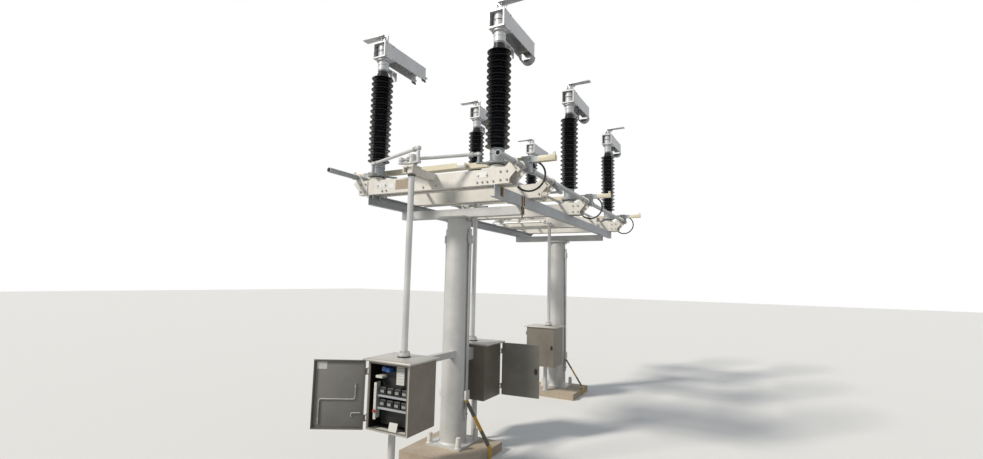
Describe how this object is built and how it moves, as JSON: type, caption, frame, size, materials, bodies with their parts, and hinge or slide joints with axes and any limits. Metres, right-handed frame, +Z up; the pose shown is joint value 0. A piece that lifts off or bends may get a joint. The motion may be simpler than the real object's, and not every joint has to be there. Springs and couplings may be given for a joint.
{
  "type": "three-pole centre-break disconnector with earthing switches",
  "caption": "Outdoor three-pole centre-break disconnector, open, with earthing switches, on a two-column steel support with mechanism cabinets.",
  "frame": {"origin": "near column's axis at ground level, on the underside of its footing", "axes": "+X along the pole bases to the right, +Y along the pole row from the near pole to the far pole, +Z up"},
  "size_m": [2.318, 5.5537, 4.2353],
  "materials": {
    "concrete": "rough cast concrete",
    "galvanised": "dull galvanised steel",
    "white_paint": "pale, weathered",
    "cabinet_steel": "brushed, a little warm",
    "mechanism_steel": "satin",
    "aluminium": "satin",
    "strip_steel": "dull",
    "black_lead": "smooth",
    "black_rubber": "glossy silicone",
    "shaft_steel": "dull galvanised",
    "blade_cream": "smooth, cream"
  },
  "bodies": {
    "frame": {"footings": "concrete", "columns": "galvanised", "head_beams": "galvanised", "cross_beams": "galvanised", "pole_base_1": "white_paint", "pole_base_2": "white_paint", "pole_base_3": "white_paint", "drive_beams": "white_paint", "bearing_housings": "white_paint", "shaft_brackets": "white_paint", "drive_bracket": "white_paint", "cabinet_1": "cabinet_steel", "cabinet_2": "cabinet_steel", "cabinet_3": "cabinet_steel", "cabinet_supports": "galvanised", "mechanisms": "mechanism_steel", "terminals": "aluminium", "earth_strips": "strip_steel", "flexible_leads": "black_lead", "lead_clamps": "galvanised"},
    "left_1": {"turntable_1_left": "galvanised", "insulator_1_left": "black_rubber", "arm_1_left": "aluminium"},
    "right_1": {"turntable_1_right": "galvanised", "insulator_1_right": "black_rubber", "arm_1_right": "aluminium"},
    "left_2": {"turntable_2_left": "galvanised", "insulator_2_left": "black_rubber", "arm_2_left": "aluminium"},
    "right_2": {"turntable_2_right": "galvanised", "insulator_2_right": "black_rubber", "arm_2_right": "aluminium"},
    "left_3": {"turntable_3_left": "galvanised", "insulator_3_left": "black_rubber", "arm_3_left": "aluminium"},
    "right_3": {"turntable_3_right": "galvanised", "insulator_3_right": "black_rubber", "arm_3_right": "aluminium"},
    "main_pipe": {"main_drive_pipe": "galvanised"},
    "left_drive_rod": {"left_drive_rod": "galvanised"},
    "left_interphase_rod": {"left_interphase_rod": "galvanised"},
    "left_earth": {"left_earth_shaft": "shaft_steel", "left_earth_blades": "blade_cream"},
    "left_earth_pipe": {"left_earth_pipe": "galvanised"},
    "left_earth_rod": {"left_earth_rod": "galvanised"},
    "right_drive_rod": {"right_drive_rod": "galvanised"},
    "right_interphase_rod": {"right_interphase_rod": "galvanised"},
    "right_earth": {"right_earth_shaft": "shaft_steel", "right_earth_blades": "blade_cream"},
    "right_earth_pipe": {"right_earth_pipe": "galvanised"},
    "right_earth_rod": {"right_earth_rod": "galvanised"},
    "door_1": {"door_1": "cabinet_steel"},
    "door_2": {"door_2": "cabinet_steel"},
    "door_3": {"door_3": "cabinet_steel"}
  },
  "joints": [
    {"name": "left_contacts_1", "type": "hinge", "parent": "frame", "child": "left_1", "pos_m": [-0.685, -0.5, 2.7123], "axis": [0, 0, -1], "range_deg": [0, 90]},
    {"name": "left_contacts_2", "type": "hinge", "parent": "frame", "child": "left_2", "pos_m": [-0.685, 1.5, 2.7123], "axis": [0, 0, -1], "range_deg": [0, 90]},
    {"name": "left_contacts_3", "type": "hinge", "parent": "frame", "child": "left_3", "pos_m": [-0.685, 3.5, 2.7123], "axis": [0, 0, -1], "range_deg": [0, 90]},
    {"name": "right_contacts_1", "type": "hinge", "parent": "frame", "child": "right_1", "pos_m": [0.685, -0.5, 2.7123], "axis": [0, 0, 1], "range_deg": [0, 90]},
    {"name": "right_contacts_2", "type": "hinge", "parent": "frame", "child": "right_2", "pos_m": [0.685, 1.5, 2.7123], "axis": [0, 0, 1], "range_deg": [0, 90]},
    {"name": "right_contacts_3", "type": "hinge", "parent": "frame", "child": "right_3", "pos_m": [0.685, 3.5, 2.7123], "axis": [0, 0, 1], "range_deg": [0, 90]},
    {"name": "main_pipe_turn", "type": "hinge", "parent": "frame", "child": "main_pipe", "pos_m": [0.044, -0.885, 2.656], "axis": [0, 0, -1], "range_deg": [0, 180]},
    {"name": "left_drive_rod_turn", "type": "hinge", "parent": "main_pipe", "child": "left_drive_rod", "pos_m": [0.1329, -0.91853, 2.815], "axis": [0, 0, 1], "range_deg": [0, 178.89]},
    {"name": "right_drive_rod_turn", "type": "hinge", "parent": "right_1", "child": "right_drive_rod", "pos_m": [0.549, -0.59, 2.798], "axis": [0, 0, -1], "range_deg": [0, 103.07]},
    {"name": "left_interphase_turn", "type": "hinge", "parent": "left_1", "child": "left_interphase_rod", "pos_m": [-0.56479, -0.37979, 2.6903], "axis": [0, 0, 1], "range_deg": [0, 90]},
    {"name": "right_interphase_turn", "type": "hinge", "parent": "right_1", "child": "right_interphase_rod", "pos_m": [0.56479, -0.37979, 2.6903], "axis": [0, 0, -1], "range_deg": [0, 90]},
    {"name": "right_earthing", "type": "hinge", "parent": "frame", "child": "right_earth", "pos_m": [0.885, 1.5, 2.704], "axis": [0, 1, 0], "range_deg": [0, 76.41]},
    {"name": "right_earth_pipe_turn", "type": "hinge", "parent": "frame", "child": "right_earth_pipe", "pos_m": [-0.03, 0.387, 2.60185], "axis": [0, 0, 1], "range_deg": [0, 180]},
    {"name": "right_earth_rod_turn", "type": "hinge", "parent": "right_earth_pipe", "child": "right_earth_rod", "pos_m": [0.0504, 0.387, 2.60185], "axis": [0, 0, -1], "range_deg": [0, 180]},
    {"name": "left_earthing", "type": "hinge", "parent": "frame", "child": "left_earth", "pos_m": [-0.885, 1.5, 2.704], "axis": [0, -1, 0], "range_deg": [0, 76.41]},
    {"name": "left_earth_pipe_turn", "type": "hinge", "parent": "frame", "child": "left_earth_pipe", "pos_m": [0.005, 2.613, 2.60185], "axis": [0, 0, 1], "range_deg": [0, 180]},
    {"name": "left_earth_rod_turn", "type": "hinge", "parent": "left_earth_pipe", "child": "left_earth_rod", "pos_m": [-0.0754, 2.613, 2.60185], "axis": [0, 0, -1], "range_deg": [0, 180]},
    {"name": "door_1_hinge", "type": "hinge", "parent": "frame", "child": "door_1", "pos_m": [-0.175, -1.0905, 0.735], "axis": [0, 0, -1], "range_deg": [-150, 20]},
    {"name": "door_2_hinge", "type": "hinge", "parent": "frame", "child": "door_2", "pos_m": [0.229, 0.5905, 0.735], "axis": [0, 0, -1], "range_deg": [-175, 0]},
    {"name": "door_3_hinge", "type": "hinge", "parent": "frame", "child": "door_3", "pos_m": [-0.254, 2.3845, 0.735], "axis": [0, 0, -1], "range_deg": [0, 170]}
  ],
  "couplings": [
    {"joint": "left_contacts_2", "follows": "left_contacts_1", "ratio": 1},
    {"joint": "left_contacts_3", "follows": "left_contacts_1", "ratio": 1},
    {"joint": "right_contacts_1", "follows": "left_contacts_1", "ratio": 1},
    {"joint": "right_contacts_2", "follows": "left_contacts_1", "ratio": 1},
    {"joint": "right_contacts_3", "follows": "left_contacts_1", "ratio": 1},
    {"joint": "main_pipe_turn", "follows": "left_contacts_1", "ratio": 2},
    {"joint": "left_drive_rod_turn", "follows": "left_contacts_1", "ratio": 1.9876},
    {"joint": "right_drive_rod_turn", "follows": "left_contacts_1", "ratio": 1.1452},
    {"joint": "left_interphase_turn", "follows": "left_contacts_1", "ratio": 1},
    {"joint": "right_interphase_turn", "follows": "left_contacts_1", "ratio": 1},
    {"joint": "right_earth_pipe_turn", "follows": "right_earthing", "ratio": 2.3557},
    {"joint": "right_earth_rod_turn", "follows": "right_earthing", "ratio": 2.3557},
    {"joint": "left_earth_pipe_turn", "follows": "left_earthing", "ratio": 2.3557},
    {"joint": "left_earth_rod_turn", "follows": "left_earthing", "ratio": 2.3557}
  ]
}
